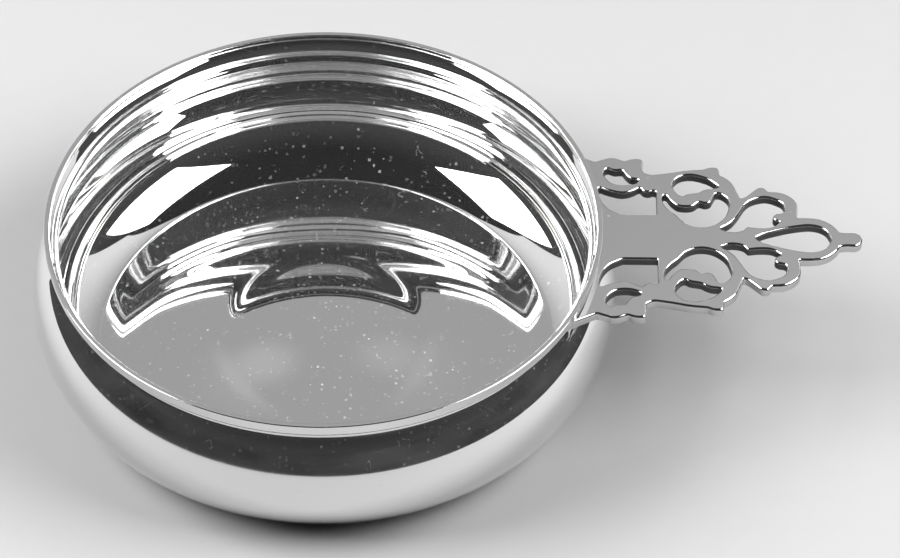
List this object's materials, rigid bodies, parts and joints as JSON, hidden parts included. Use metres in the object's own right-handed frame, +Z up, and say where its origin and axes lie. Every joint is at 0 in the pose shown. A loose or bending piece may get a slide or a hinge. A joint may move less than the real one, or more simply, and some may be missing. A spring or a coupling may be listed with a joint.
{
  "type": "porringer",
  "caption": "Shallow round silver porringer: bulging bowl with a turned-out lip and domed floor, and a flat pierced handle soldered under the lip. Holds porridge, soup or small things.",
  "frame": {"origin": "centre of the whole object's box on the plane that the base rests on; the bowl's axis is 27.9 mm towards -X", "axes": "+X from the bowl along the handle to its knob, +Z up through the mouth of the bowl"},
  "size_m": [0.1896, 0.1338, 0.0396],
  "materials": {
    "polished_silver": "mirror-polished silver sheet with fine wear scratches",
    "cast_silver": "polished silver casting with softened edges",
    "silver_solder": "hard silver solder, left as it flowed"
  },
  "bodies": {
    "root": {"bowl": "polished_silver", "handle": "cast_silver", "handle_solder": "silver_solder"}
  },
  "joints": []
}
